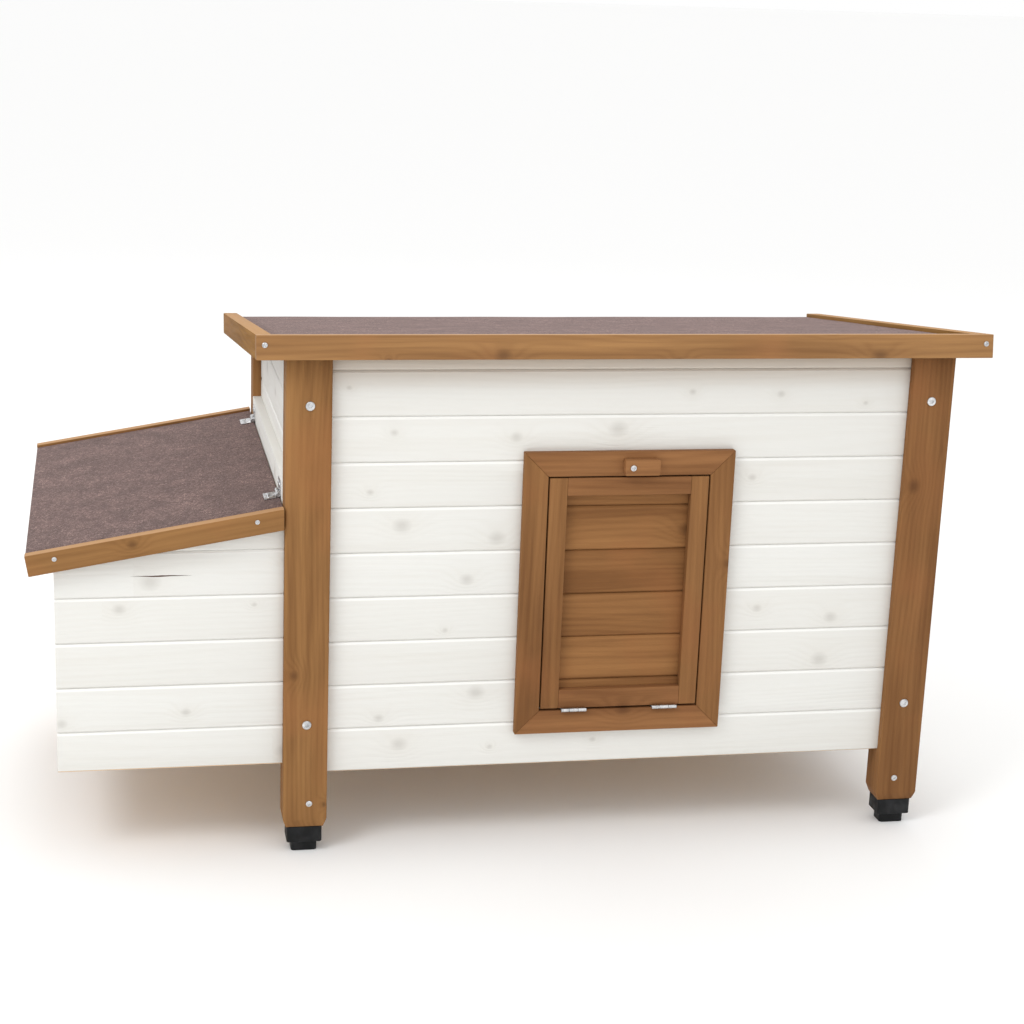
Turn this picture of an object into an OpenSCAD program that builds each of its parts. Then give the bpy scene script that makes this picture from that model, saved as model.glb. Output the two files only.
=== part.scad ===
/* [Body] */
// Width over the corner posts
body_w = 855; // [680:5:1060]
// Depth over the corner posts
body_d = 570; // [460:5:700]
// Height of the main walls' lower edge above the ground
wall_z = 105; // [85:1:125]
// Height of the roof panel's underside at the front face of the posts
roof_z = 657; // [610:1:790]
// Fall of the roof towards the back, in degrees
roof_slope = 7.5; // [4:0.5:10]

/* [Corner posts and feet] */
// Width of a corner post across the front
post_w = 56; // [44:1:70]
// Depth of a corner post along the side
post_d = 42; // [36:1:56]
// How far the posts stand proud of the walls
post_proud = 12; // [8:0.5:15]
// Depth of the groove in a post that holds the wall boards
groove_depth = 8; // [5:0.5:10]
// Height of the bevel round a leg's lower end
leg_bevel_h = 12; // [6:1:18]
// Width of the bevel round a leg's lower end
leg_bevel_w = 4; // [2:0.5:6]
// Width of the eased edge along a post
post_arris = 1.5; // [0.5:0.5:3]
// Height of a plastic foot
foot_h = 35; // [26:1:40]
// Width of a foot's upper collar
foot_w = 45; // [36:1:50]
// Depth of a foot's upper collar
foot_d = 36; // [30:1:40]
// Height of a foot's lower pad
pad_h = 14; // [8:1:18]
// How far the pad is set in from the collar
pad_inset = 6; // [3:0.5:8]
// Radius of the plug that holds a foot in its leg
plug_r = 8; // [6:0.5:10]
// Length of the plug that holds a foot in its leg
plug_l = 44; // [38:1:52]

/* [Wall boards] */
// Thickness of a matched board
board_t = 12; // [10:0.5:14]
// Distance from one groove line to the next
board_pitch = 58; // [48:1:72]
// Open joint between two boards
board_gap = 0.3; // [0.2:0.1:0.6]
// Width of the bevel on a board's edges that makes the groove line
vee = 2.5; // [1.5:0.5:4]
// Height of a board's tongue
tongue_h = 6; // [4:0.5:8]
// Thickness of a board's tongue
tongue_t = 4; // [3:0.5:5]
// Play of the tongue in the next board's groove
tongue_play = 0.4; // [0.2:0.1:0.6]

/* [Rails and floor] */
// Thickness of the rails inside the walls
rail_t = 20; // [16:1:24]
// Height of the side rails
rail_h = 24; // [20:1:30]
// Height of the front and rear head rails
head_rail_h = 38; // [30:1:44]
// Height of the lower rails' centre line above the ground
lower_rail_z = 175; // [158:1:180]
// Height of the upper rails' centre line at the front posts
upper_rail_z = 586; // [560:1:600]
// Thickness of the floor panels
floor_t = 9; // [6:1:15]
// Depth of a post bolt's centre line in from the post's outer side
bolt_inset = 29; // [28:0.5:34]
// Depth of a foot screw's centre line in from the post's outer side
foot_screw_inset = 33; // [30:1:36]
// Height of a foot screw above the ground
foot_screw_z = 68; // [58:1:74]

/* [Door] */
// Width of the door opening
opening_w = 210.5; // [180:0.5:260]
// Height of the door opening
opening_h = 311.3; // [260:0.1:330]
// Height of the door opening's sill above the ground
sill_z = 181.7; // [170:0.1:195]
// How far the door's centre line is right of the body's
door_shift = 6; // [-60:1:60]
// Width of the casing pieces round the door
casing_w = 31; // [24:1:36]
// Thickness of the casing pieces round the door
casing_t = 11; // [8:0.5:12]
// Gap round the door at its top and sides
door_gap = 2; // [1.5:0.5:4]
// Gap under the door, which holds the hinge leaves
door_seam = 3; // [3:0.5:5]
// Width of the door's stiles and top rail
stile_w = 23; // [18:1:32]
// Height of the door's bottom rail
bottom_rail_h = 25; // [18:1:36]
// How far the door's groove lines are below those of the wall
door_board_drop = 1.5; // [0:0.5:10]
// Width of the stops behind the door
stop_w = 20; // [16:1:26]
// How far the stops reach over the door's edge
stop_lap = 6; // [4:1:10]
// Gap between the closed door and its stops
stop_gap = 0.4; // [0.3:0.1:1]

/* [Turn button] */
// Length of the turn button
button_l = 45; // [40:1:60]
// Width of the turn button
button_w = 20; // [16:1:22]
// Thickness of the turn button
button_t = 12; // [8:1:16]
// Distance of the pivot from the button's near end
button_heel = 10; // [9:1:14]
// Height of the pivot above the door opening
button_rise = 13; // [12:1:20]
// Radius of the pivot screw
button_screw_r = 2; // [1.5:0.1:3]
// Gap behind the button and under its screw head
button_gap = 0.4; // [0.3:0.1:1]

/* [Nest box] */
// How far the nest box stands out from the left posts
nest_l = 279; // [220:1:340]
// Height of the nest box's lower edge above the ground
nest_z = 119.5; // [110:0.5:125]
// How far the nest box's groove lines are above those of the main wall
nest_board_rise = 7.7; // [0:0.1:8]
// Height of the nest floor's underside above the nest box's lower edge
nest_floor_rise = 17; // [12:1:24]
// Width of the passage between the body and the nest box
passage_w = 190; // [150:1:260]
// Height of the passage between the body and the nest box
passage_h = 190; // [150:1:200]
// Height of the hinge board over the nest box
hinge_board_h = 78; // [60:1:90]
// How far the hinge board stands above the lid's hinge line
hinge_board_rise = 26; // [24:1:36]

/* [Nest lid] */
// Height of the lid panel's underside at the posts' left face
lid_z = 444; // [435:0.5:455]
// Fall of the lid away from the body, in degrees
lid_slope = 9.7; // [6:0.1:12]
// How far the lid reaches past the outer end of the nest box
lid_over_end = 31; // [20:1:40]
// How far the lid reaches past the front of the posts
lid_over_front = 6; // [4:1:20]
// Thickness of the lid's fascias
lid_fascia_t = 15; // [12:1:15]
// Height of the lid's fascias
lid_fascia_h = 26.6; // [22:0.2:34]
// How far the lid's fascias stand above the felt
lid_fascia_up = 3; // [1:0.5:6]
// Gap between the lid and the body
lid_gap = 1.5; // [1:0.5:3]
// Distance of a lid hinge's middle from the front or rear posts
lid_hinge_in = 33; // [30:1:80]

/* [Roof] */
// Thickness of the roof and lid panels
panel_t = 10; // [8:1:15]
// Thickness of the mineral felt
felt_t = 2; // [1.5:0.5:3]
// Thickness of the roof's fascias
fascia_t = 20; // [15:1:24]
// Height of the roof's fascias
fascia_h = 30; // [26:1:44]
// How far the roof's fascias stand above the felt
fascia_up = 5; // [2:0.5:8]
// Gap between the front fascia and the posts
fascia_gap = 3; // [3:0.5:8]
// How far the roof reaches past the posts at each side
roof_over_side = 38; // [30:1:50]
// How far the roof reaches past the posts at the back
roof_over_rear = 38; // [34:1:60]
// Gap between a closed roof or lid and the wood under it
rest_gap = 0.5; // [0.3:0.1:1]
// Width of the battens under the roof panel
batten_w = 34; // [24:1:44]
// Thickness of the battens under the roof panel
batten_t = 16; // [12:1:20]
// Distance of the roof battens from the head rails
batten_in = 24; // [18:1:50]

/* [Hinges] */
// Length of a door hinge
door_hinge_l = 33; // [28:1:45]
// Distance between the two door hinges' middles
door_hinge_span = 120.5; // [100:0.5:150]
// Length of a lid hinge
lid_hinge_l = 28; // [24:1:50]
// Length of a roof hinge
roof_hinge_l = 40; // [30:1:44]
// Width of a hinge leaf from the pin's centre line
leaf_w = 18; // [16:1:24]
// Thickness of a hinge leaf
leaf_t = 1.2; // [1:0.1:1.2]
// Radius of a hinge knuckle
knuckle_r = 2.6; // [2.4:0.1:3.2]
// Radius of a hinge pin
pin_r = 1.3; // [1:0.1:1.4]
// Clearance between a pin and its knuckles
pin_play = 0.05; // [0.03:0.01:0.08]
// Gap between a knuckle and the surface its leaf lies on
knuckle_clear = 0.7; // [0.5:0.1:1.2]
// Radius of a small screw's head
screw_head_r = 2.8; // [2.4:0.1:3.4]
// Radius of a small screw's shank
screw_r = 1.5; // [1.2:0.1:1.8]

/* [Hidden] */
$fn = 48;

whitewash = [0.92, 0.91, 0.88];
brown_stain = [0.58, 0.42, 0.25];
bare_pine = [0.80, 0.66, 0.46];
felt_purple = [0.45, 0.38, 0.37];
black_plastic = [0.08, 0.08, 0.08];
bright_zinc = [0.76, 0.77, 0.78];

// Overall box, measured from the front left post's outer corner
roof_back = (body_d + roof_over_rear) / cos(roof_slope);
lid_end = (nest_l + lid_over_end) / cos(lid_slope);
lid_fascia_n = panel_t + felt_t + lid_fascia_up;
fascia_n = panel_t + felt_t + fascia_up;
min_x = -lid_end * cos(lid_slope) - lid_fascia_n * sin(lid_slope);
max_x = body_w + roof_over_side;
roof_front = -fascia_gap - fascia_t;
min_y = roof_front * cos(roof_slope) + (fascia_n - fascia_h) * sin(roof_slope);
max_y = roof_back * cos(roof_slope) + fascia_n * sin(roof_slope);

// Walls
wall_inner = post_proud + board_t;
groove_slack = 0.5;
wall_end_x = post_w - groove_depth + groove_slack;
wall_end_y = post_d - groove_depth + groove_slack;
far = 1500;
eps = 0.01;

// Door and casing
door_x = body_w / 2 + door_shift;
open_x0 = door_x - opening_w / 2;
open_x1 = door_x + opening_w / 2;
open_z1 = sill_z + opening_h;
casing_y = post_proud - casing_t;
leaf_x0 = open_x0 + door_gap;
leaf_x1 = open_x1 - door_gap;
leaf_z0 = sill_z + door_seam;
leaf_z1 = open_z1 - door_gap;
door_pin_y = casing_y - knuckle_r - 0.3;
door_pin_z = sill_z + door_seam / 2;

// Lid and roof hinge lines
pin_off = knuckle_r + knuckle_clear;
lid_pin_x = -pin_off;
lid_pin_n = panel_t + felt_t + pin_off;
lid_pin_v = (lid_pin_x + lid_pin_n * sin(lid_slope)) / cos(lid_slope);
lid_pin_z = lid_z + lid_pin_v * sin(lid_slope) + lid_pin_n * cos(lid_slope);
roof_pin_y = body_d + pin_off;
roof_pin_u = (roof_pin_y + pin_off * sin(roof_slope)) / cos(roof_slope);
roof_pin_z = roof_z - roof_pin_u * sin(roof_slope) - pin_off * cos(roof_slope);
hinge_board_z1 = lid_pin_z + hinge_board_rise;
lid_hinge_ys = [post_d + lid_hinge_in, body_d - post_d - lid_hinge_in];
roof_hinge_xs = [post_w / 2, body_w - post_w / 2];
door_hinge_xs = [door_x - door_hinge_span / 2, door_x + door_hinge_span / 2];
knuckle_gap = 0.4;
leaf_screw_out = 12;
leaf_screw_l = 10;

// Rails
rail_drop = tan(roof_slope) * (body_d - post_d);
lower_rail_top = lower_rail_z + rail_h / 2;
batten_in_y = post_d + rail_t + batten_in;

// Puts a piece in the frame whose origin is the middle of the overall box's base
module placed() {
    translate([-(min_x + max_x) / 2, -(min_y + max_y) / 2, 0]) children();
}

// Puts a front left corner piece at one of the four corners
module corner(right, rear) {
    translate([right * body_w, rear * body_d, 0])
        mirror([right, 0, 0])
            mirror([0, rear, 0])
                children();
}

// The roof's frame: Y runs down the slope and Z stands on the panel's underside
module on_roof() {
    translate([0, 0, roof_z]) rotate([-roof_slope, 0, 0]) children();
}

// The lid's frame: X runs up the slope and Z stands on the panel's underside
module on_lid() {
    translate([0, 0, lid_z]) rotate([0, -lid_slope, 0]) children();
}

// Everything that is below the closed roof
module under_roof() {
    translate([0, 0, -rest_gap])
        on_roof()
            translate([-far, -far, -far])
                cube([2 * far, 2 * far, far]);
}

// Everything that is below the closed lid
module under_lid() {
    translate([0, 0, -rest_gap])
        on_lid()
            translate([-far, -far, -far])
                cube([2 * far, 2 * far, far]);
}

module rounded_rect(w, d, r) {
    translate([r, 0]) square([w - 2 * r, d]);
    translate([0, r]) square([w, d - 2 * r]);
    for (x = [r, w - r], y = [r, d - r])
        translate([x, y]) circle(r);
}

// A rectangle with its four corners cut off
module eased_rect(w, d, c) {
    polygon([[c, 0], [w - c, 0], [w, c], [w, d - c], [w - c, d], [c, d], [0, d - c], [0, c]]);
}

// Cross-section of a matched board: face at x = 0, groove below and tongue above
module board_section() {
    middle = board_t / 2;
    h = board_pitch - board_gap;
    slot = tongue_t + tongue_play;
    difference() {
        polygon([[0, vee], [vee, 0], [board_t, 0], [board_t, h], [vee, h], [0, h - vee]]);
        translate([middle - slot / 2, -1]) square([slot, tongue_h + 1]);
    }
    translate([middle - tongue_t / 2, h - 1]) square([tongue_t, tongue_h + 1 - tongue_play]);
}

// A wall of matched boards along X, with its face towards -Y
module boards(length, from_z, to_z) {
    for (k = [0 : ceil((to_z - from_z) / board_pitch) - 1])
        translate([0, 0, from_z + k * board_pitch])
            rotate([90, 0, 90])
                linear_extrude(length) board_section();
}

module door_hole() {
    translate([open_x0, 0, sill_z]) cube([opening_w, post_d, opening_h]);
}

// Posts

// Side view of a post, with its lower end bevelled
module leg_outline(w, h) {
    b = leg_bevel_w;
    polygon([[b, 0], [w - b, 0], [w, leg_bevel_h], [w, h], [0, h], [0, leg_bevel_h]]);
}

module post_blank() {
    height = roof_z - foot_h;
    translate([0, 0, foot_h])
        intersection() {
            linear_extrude(height) eased_rect(post_w, post_d, post_arris);
            translate([0, post_d, 0])
                rotate([90, 0, 0])
                    linear_extrude(post_d) leg_outline(post_w, height);
            rotate([90, 0, 90]) linear_extrude(post_w) leg_outline(post_d, height);
        }
}

// A post with its board grooves and the hole for the foot's plug
module post(right, rear) {
    placed() color(brown_stain) intersection() {
        corner(right, rear) difference() {
            post_blank();
            translate([post_w - groove_depth, post_proud, wall_z])
                cube([groove_depth + 1, board_t, roof_z]);
            translate([post_proud, post_d - groove_depth, wall_z])
                cube([board_t, groove_depth + 1, roof_z]);
            translate([post_w / 2, post_d / 2, foot_h - 1])
                cylinder(r = plug_r + pin_play, h = plug_l + 2);
        }
        under_roof();
    }
}

module post_front_left() { post(0, 0); }
module post_front_right() { post(1, 0); }
module post_rear_left() { post(0, 1); }
module post_rear_right() { post(1, 1); }

// Feet

module foot(right, rear) {
    corner_r = 4;
    placed() color(black_plastic) corner(right, rear)
        translate([post_w / 2, post_d / 2, 0]) {
            translate([-foot_w / 2, -foot_d / 2, pad_h])
                linear_extrude(foot_h - pad_h) rounded_rect(foot_w, foot_d, corner_r);
            translate([-foot_w / 2 + pad_inset, -foot_d / 2 + pad_inset, 0])
                linear_extrude(pad_h + 1)
                    rounded_rect(foot_w - 2 * pad_inset, foot_d - 2 * pad_inset, corner_r);
            cylinder(r = plug_r, h = foot_h + plug_l);
        }
}

module foot_front_left() { foot(0, 0); }
module foot_front_right() { foot(1, 0); }
module foot_rear_left() { foot(0, 1); }
module foot_rear_right() { foot(1, 1); }

// Main walls

module front_wall_boards() {
    placed() color(whitewash) difference() {
        intersection() {
            translate([wall_end_x, post_proud, 0]) boards(body_w - 2 * wall_end_x, wall_z, roof_z);
            under_roof();
        }
        door_hole();
    }
}

module back_wall_boards() {
    placed() color(whitewash) intersection() {
        translate([body_w - wall_end_x, body_d - post_proud, 0])
            rotate([0, 0, 180])
                boards(body_w - 2 * wall_end_x, wall_z, roof_z);
        under_roof();
    }
}

module left_wall_boards() {
    placed() color(whitewash) difference() {
        intersection() {
            translate([post_proud, body_d - wall_end_y, 0])
                rotate([0, 0, -90])
                    boards(body_d - 2 * wall_end_y, wall_z, roof_z);
            under_roof();
        }
        translate([0, (body_d - passage_w) / 2, lower_rail_top + floor_t])
            cube([post_w, passage_w, passage_h]);
    }
}

module right_wall_boards() {
    placed() color(whitewash) intersection() {
        translate([body_w - post_proud, wall_end_y, 0])
            rotate([0, 0, 90])
                boards(body_d - 2 * wall_end_y, wall_z, roof_z);
        under_roof();
    }
}

// Rails, bearers and floor

module head_rail(y) {
    intersection() {
        translate([post_w, y, roof_z - tan(roof_slope) * (y + rail_t) - head_rail_h])
            cube([body_w - 2 * post_w, rail_t, head_rail_h + rail_t]);
        under_roof();
    }
}

module front_head_rail() {
    placed() color(bare_pine) head_rail(wall_inner);
}

module rear_head_rail() {
    placed() color(bare_pine) head_rail(body_d - wall_inner - rail_t);
}

// The upper rail follows the roof and the lower rail is level
module side_rails(right) {
    placed() color(bare_pine) corner(right, 0) {
        translate([wall_inner + rail_t, post_d, 0])
            rotate([0, -90, 0])
                linear_extrude(rail_t)
                    polygon([
                        [upper_rail_z - rail_h / 2, 0],
                        [upper_rail_z + rail_h / 2, 0],
                        [upper_rail_z + rail_h / 2 - rail_drop, body_d - 2 * post_d],
                        [upper_rail_z - rail_h / 2 - rail_drop, body_d - 2 * post_d]
                    ]);
        translate([wall_inner, post_d, lower_rail_z - rail_h / 2])
            cube([rail_t, body_d - 2 * post_d, rail_h]);
    }
}

module left_rails() { side_rails(0); }
module right_rails() { side_rails(1); }

module floor_bearers() {
    bearer_z = lower_rail_z - rail_h / 2;
    inner = wall_inner + rail_t + board_gap;
    placed() color(bare_pine) {
        for (y = [wall_inner, body_d - wall_inner - rail_t])
            translate([post_w, y, bearer_z]) cube([body_w - 2 * post_w, rail_t, rail_h]);
        translate([(body_w - rail_t) / 2, inner, bearer_z])
            cube([rail_t, body_d - 2 * inner, rail_h]);
    }
}

module floor_panel() {
    placed() color(bare_pine) difference() {
        translate([wall_inner, wall_inner, lower_rail_top])
            cube([body_w - 2 * wall_inner, body_d - 2 * wall_inner, floor_t]);
        for (right = [0, 1], rear = [0, 1])
            corner(right, rear) cube([post_w, post_d, roof_z]);
    }
}

module door_stops() {
    stop_y = wall_inner + stop_gap;
    stop_z0 = lower_rail_top + floor_t;
    stop_z1 = roof_z - tan(roof_slope) * (wall_inner + rail_t) - head_rail_h;
    placed() color(bare_pine) difference() {
        union() {
            for (x = [open_x0 + stop_lap - stop_w, open_x1 - stop_lap])
                translate([x, wall_inner, stop_z0]) cube([stop_w, rail_t, stop_z1 - stop_z0]);
            translate([open_x0 + stop_lap + board_gap, wall_inner, open_z1 - stop_lap])
                cube([opening_w - 2 * (stop_lap + board_gap), rail_t, stop_w]);
        }
        translate([open_x0, 0, 0]) cube([opening_w, stop_y, open_z1]);
    }
}

// Door casing, mitred at its corners

module casing(points) {
    placed() color(brown_stain)
        translate([0, post_proud, 0])
            rotate([90, 0, 0])
                linear_extrude(casing_t) polygon(points);
}

module casing_left() {
    casing([
        [open_x0, sill_z],
        [open_x0, open_z1],
        [open_x0 - casing_w, open_z1 + casing_w],
        [open_x0 - casing_w, sill_z - casing_w]
    ]);
}

module casing_right() {
    casing([
        [open_x1, sill_z],
        [open_x1 + casing_w, sill_z - casing_w],
        [open_x1 + casing_w, open_z1 + casing_w],
        [open_x1, open_z1]
    ]);
}

module casing_top() {
    casing([
        [open_x0, open_z1],
        [open_x1, open_z1],
        [open_x1 + casing_w, open_z1 + casing_w],
        [open_x0 - casing_w, open_z1 + casing_w]
    ]);
}

module casing_bottom() {
    casing([
        [open_x0, sill_z],
        [open_x0 - casing_w, sill_z - casing_w],
        [open_x1 + casing_w, sill_z - casing_w],
        [open_x1, sill_z]
    ]);
}

// Nest box

module hinge_board() {
    placed() color(whitewash)
        translate([0, post_d, hinge_board_z1 - hinge_board_h])
            cube([post_proud, body_d - 2 * post_d, hinge_board_h]);
}

module nest_trim() {
    intersection() {
        children();
        under_lid();
        translate([-far, -far, nest_z]) cube([2 * far, 2 * far, far]);
    }
}

module nest_front_boards() {
    placed() color(whitewash) nest_trim()
        translate([-nest_l, post_proud, 0]) boards(nest_l, wall_z + nest_board_rise, lid_z);
}

module nest_rear_boards() {
    placed() color(whitewash) nest_trim()
        translate([0, body_d - post_proud, 0])
            rotate([0, 0, 180])
                boards(nest_l, wall_z + nest_board_rise, lid_z);
}

module nest_end_boards() {
    placed() color(whitewash) nest_trim()
        translate([-nest_l, body_d - wall_inner, 0])
            rotate([0, 0, -90])
                boards(body_d - 2 * wall_inner, wall_z + nest_board_rise, lid_z);
}

module nest_battens() {
    placed() color(bare_pine) nest_trim()
        for (x = [board_t - nest_l, -rail_t], y = [wall_inner, body_d - wall_inner - rail_t])
            translate([x, y, nest_z]) cube([rail_t, rail_t, far]);
}

module nest_floor_bearers() {
    placed() color(bare_pine)
        for (y = [wall_inner, body_d - wall_inner - rail_t])
            translate([board_t + rail_t - nest_l, y, nest_z])
                cube([nest_l - board_t - 2 * rail_t, rail_t, nest_floor_rise]);
}

module nest_floor() {
    nest_inner = nest_l - board_t;
    inner_d = body_d - 2 * wall_inner;
    placed() color(bare_pine) difference() {
        translate([-nest_inner, wall_inner, nest_z + nest_floor_rise])
            cube([nest_inner + post_proud, inner_d, floor_t]);
        for (x = [-nest_inner, -rail_t], y = [wall_inner, body_d - wall_inner - rail_t])
            translate([x, y, 0]) cube([rail_t, rail_t, far]);
        for (rear = [0, 1])
            corner(0, rear) cube([post_w, post_d, far]);
    }
}

// Fasteners

// A screw along +Z that enters the surface at z = 0, with a domed head of height 0.4 r
module screw(head_r, shank_r, length) {
    ball_r = 1.45 * head_r;
    dome = 0.4 * head_r;
    translate([0, 0, -eps]) cylinder(r = shank_r, h = length);
    intersection() {
        translate([0, 0, ball_r - dome]) sphere(ball_r);
        translate([-head_r, -head_r, -dome]) cube([2 * head_r, 2 * head_r, dome]);
        translate([0, 0, -dome]) cylinder(r = head_r, h = dome);
    }
}

module post_bolts() {
    head_r = 6;
    shank_r = 3;
    length = post_d + 25;
    placed() color(bright_zinc)
        for (right = [0, 1], rear = [0, 1], z = [lower_rail_z, upper_rail_z - rear * rail_drop])
            corner(right, rear)
                translate([bolt_inset, 0, z])
                    rotate([-90, 0, 0])
                        difference() {
                            screw(head_r, shank_r, length);
                            translate([0, 0, -head_r]) cylinder(r = head_r / 3, h = head_r, $fn = 6);
                        }
}

module foot_screws() {
    head_r = 4.2;
    length = post_d / 2 + plug_r / 2;
    placed() color(bright_zinc)
        for (right = [0, 1], rear = [0, 1])
            corner(right, rear)
                translate([foot_screw_inset, 0, foot_screw_z])
                    rotate([-90, 0, 0])
                        screw(head_r, screw_r, length);
}

// One half of a butt hinge: the pin runs along X and the leaf along +Y, on the
// surface at z = -off. The outer half has the two end knuckles.
module hinge_half(outer, length, off) {
    start = knuckle_r + knuckle_gap;
    third = length / 3;
    spans = outer
        ? [[-length / 2, third - knuckle_gap], [length / 6 + knuckle_gap, third - knuckle_gap]]
        : [[-third / 2, third]];
    difference() {
        union() {
            translate([-length / 2, start, -off]) cube([length, leaf_w - start, leaf_t]);
            for (span = spans) {
                translate([span[0], 0, 0]) rotate([0, 90, 0]) cylinder(r = knuckle_r, h = span[1]);
                translate([span[0], 0, -off]) cube([span[1], start + eps, off - 0.3]);
            }
        }
        translate([-length, 0, 0]) rotate([0, 90, 0]) cylinder(r = pin_r + pin_play, h = 2 * length);
    }
}

// The two screws through one hinge leaf, in the same frame as the leaf
module leaf_screws(length, off) {
    for (x = [-length / 4, length / 4])
        translate([x, leaf_screw_out, leaf_t - off])
            rotate([180, 0, 0])
                screw(screw_head_r, screw_r, leaf_screw_l);
}

// Frames of the three hinge lines: leaf of the fixed half along +Y
module door_fixed(x) {
    translate([x, door_pin_y, door_pin_z]) children();
}

module door_moving(x) {
    translate([x, door_pin_y, door_pin_z]) mirror([0, 0, 1]) children();
}

module lid_fixed(y) {
    translate([lid_pin_x, y, lid_pin_z]) rotate([90, 0, -90]) children();
}

module lid_moving(y) {
    translate([lid_pin_x, y, lid_pin_z]) rotate([0, -lid_slope, 0]) rotate([0, 0, 90]) children();
}

module roof_fixed(x) {
    translate([x, roof_pin_y, roof_pin_z]) rotate([-90, 0, 0]) children();
}

module roof_moving(x) {
    translate([x, roof_pin_y, roof_pin_z]) rotate([-roof_slope, 0, 0]) mirror([0, 0, 1]) children();
}

module door_hinge_leaves() {
    placed() color(bright_zinc)
        for (x = door_hinge_xs) door_fixed(x) hinge_half(true, door_hinge_l, door_seam / 2);
}

module door_hinge_flaps() {
    placed() color(bright_zinc)
        for (x = door_hinge_xs) door_moving(x) hinge_half(false, door_hinge_l, door_seam / 2);
}

module lid_hinge_leaves() {
    placed() color(bright_zinc)
        for (y = lid_hinge_ys) lid_fixed(y) hinge_half(true, lid_hinge_l, pin_off);
}

module lid_hinge_flaps() {
    placed() color(bright_zinc)
        for (y = lid_hinge_ys) lid_moving(y) hinge_half(false, lid_hinge_l, pin_off);
}

module roof_hinge_leaves() {
    placed() color(bright_zinc)
        for (x = roof_hinge_xs) roof_fixed(x) hinge_half(true, roof_hinge_l, pin_off);
}

module roof_hinge_flaps() {
    placed() color(bright_zinc)
        for (x = roof_hinge_xs) roof_moving(x) hinge_half(false, roof_hinge_l, pin_off);
}

module pin(length) {
    rotate([0, 90, 0]) translate([0, 0, -length / 2]) cylinder(r = pin_r, h = length);
}

module hinge_pins() {
    placed() color(bright_zinc) {
        for (x = door_hinge_xs) door_fixed(x) pin(door_hinge_l);
        for (y = lid_hinge_ys) lid_fixed(y) pin(lid_hinge_l);
        for (x = roof_hinge_xs) roof_fixed(x) pin(roof_hinge_l);
    }
}

module hinge_screws() {
    placed() color(bright_zinc) {
        for (y = lid_hinge_ys) lid_fixed(y) leaf_screws(lid_hinge_l, pin_off);
        for (x = roof_hinge_xs) roof_fixed(x) leaf_screws(roof_hinge_l, pin_off);
    }
}

// Door

module door_stick(x, z, w, h) {
    placed() color(brown_stain)
        translate([x, post_proud, z])
            rotate([90, 0, 0])
                linear_extrude(casing_t) square([w, h]);
}

module door_stile_left() {
    door_stick(leaf_x0, leaf_z0, stile_w, leaf_z1 - leaf_z0);
}

module door_stile_right() {
    door_stick(leaf_x1 - stile_w, leaf_z0, stile_w, leaf_z1 - leaf_z0);
}

module door_rail_top() {
    door_stick(leaf_x0 + stile_w, leaf_z1 - stile_w, leaf_x1 - leaf_x0 - 2 * stile_w, stile_w);
}

module door_rail_bottom() {
    door_stick(leaf_x0 + stile_w, leaf_z0, leaf_x1 - leaf_x0 - 2 * stile_w, bottom_rail_h);
}

module door_boards() {
    first_z = wall_z - door_board_drop + board_pitch * floor((leaf_z0 - wall_z) / board_pitch);
    placed() color(brown_stain) intersection() {
        translate([leaf_x0, post_proud, 0]) boards(leaf_x1 - leaf_x0, first_z, leaf_z1);
        translate([leaf_x0, 0, leaf_z0]) cube([leaf_x1 - leaf_x0, post_d, leaf_z1 - leaf_z0]);
    }
}

// Turn button, drawn clear of the door with its long arm to the right

module at_button() {
    translate([door_x, casing_y - button_gap, open_z1 + button_rise]) rotate([90, 0, 0]) children();
}

module turn_button() {
    corner_r = 2;
    placed() color(brown_stain) at_button() difference() {
        translate([-button_heel, -button_w / 2, 0])
            linear_extrude(button_t) rounded_rect(button_l, button_w, corner_r);
        translate([0, 0, -1]) cylinder(r = button_screw_r + pin_play, h = button_t + 2);
    }
}

module button_pivot() {
    head_r = 4;
    head_h = 1.8;
    depth = casing_t + board_t / 2;
    placed() color(bright_zinc) at_button() {
        translate([0, 0, -depth]) cylinder(r = button_screw_r, h = depth + button_t + button_gap + eps);
        translate([0, 0, button_t + button_gap]) cylinder(r = head_r, h = head_h);
    }
}

// Nest lid

// Cuts the lid's pieces plumb where they meet the body
module lid_trim() {
    intersection() {
        on_lid() children();
        translate([-far - lid_gap, -far, 0]) cube([far, 2 * far, far]);
    }
}

module lid_panel() {
    placed() color(bare_pine) lid_trim()
        translate([felt_t - lid_end, lid_fascia_t - lid_over_front, 0])
            cube([lid_end, body_d + 2 * (lid_over_front - lid_fascia_t), panel_t]);
}

module lid_felt() {
    placed() color(felt_purple) lid_trim()
        translate([-lid_end, lid_fascia_t - lid_over_front, 0])
            difference() {
                cube([2 * lid_end, body_d + 2 * (lid_over_front - lid_fascia_t), panel_t + felt_t]);
                translate([felt_t, -1, -1])
                    cube([2 * lid_end, body_d + 2 * lid_over_front, panel_t + 1]);
            }
}

module lid_fascia(y) {
    placed() color(brown_stain) lid_trim()
        translate([-lid_end, y, lid_fascia_n - lid_fascia_h])
            cube([2 * lid_end, lid_fascia_t, lid_fascia_h]);
}

module lid_fascia_front() { lid_fascia(-lid_over_front); }
module lid_fascia_rear() { lid_fascia(body_d + lid_over_front - lid_fascia_t); }

module lid_screws() {
    head_r = 3;
    end_in = 34;
    placed() color(bright_zinc) {
        for (y = lid_hinge_ys) lid_moving(y) leaf_screws(lid_hinge_l, pin_off);
        on_lid()
            for (x = [end_in - lid_end, -end_in], rear = [0, 1])
                translate([x, rear * body_d + (2 * rear - 1) * lid_over_front, panel_t / 2])
                    rotate([-90 + 180 * rear, 0, 0])
                        screw(head_r, screw_r, lid_fascia_t + leaf_screw_l);
    }
}

// Roof

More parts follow.
